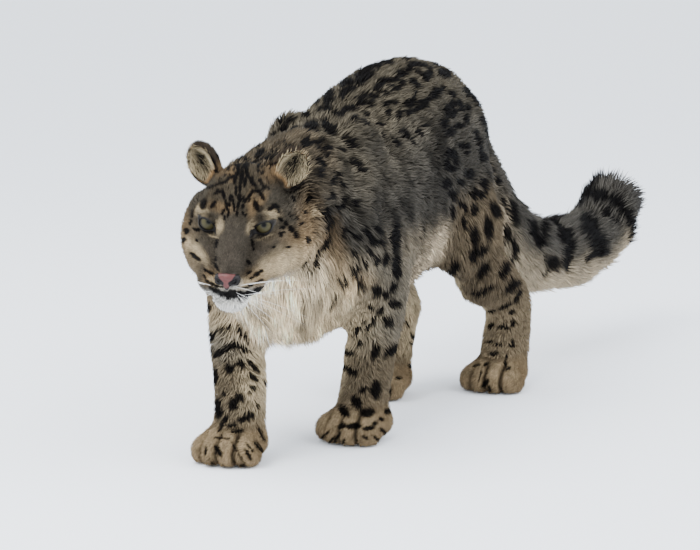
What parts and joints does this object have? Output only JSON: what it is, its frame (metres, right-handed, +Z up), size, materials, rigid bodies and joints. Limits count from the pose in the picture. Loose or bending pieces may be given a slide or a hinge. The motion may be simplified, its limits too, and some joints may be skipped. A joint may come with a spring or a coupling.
{
  "type": "snow leopard",
  "caption": "Life-size still snow leopard, walking with its head low, with a thick spotted coat and a long heavy tail that turns up at its end.",
  "frame": {"origin": "on the floor, under the middle of the model's box", "axes": "+Z up; the animal faces -Y and its left side is +X"},
  "size_m": [0.3222, 1.6166, 0.6114],
  "materials": {
    "coat": "thick soft winter fur, smoky grey and tan with dark rosettes and spots, cream below",
    "eye": "wet eye with a pale grey-green iris and a small round pupil",
    "nose_leather": "bare damp pink skin with dark edges"
  },
  "bodies": {
    "root": {"head": "coat", "nose": "nose_leather", "ear_left": "coat", "ear_right": "coat", "eye_left": "eye", "eye_right": "eye", "neck": "coat", "trunk": "coat", "foreleg_left": "coat", "foreshin_left": "coat", "forepaw_left": "coat", "foreleg_right": "coat", "foreshin_right": "coat", "forepaw_right": "coat", "hindleg_left": "coat", "hindshin_left": "coat", "hindpaw_left": "coat", "hindleg_right": "coat", "hindshin_right": "coat", "hindpaw_right": "coat", "tail_base": "coat", "tail_middle": "coat", "tail_end": "coat", "tail_tip": "coat"}
  },
  "joints": []
}
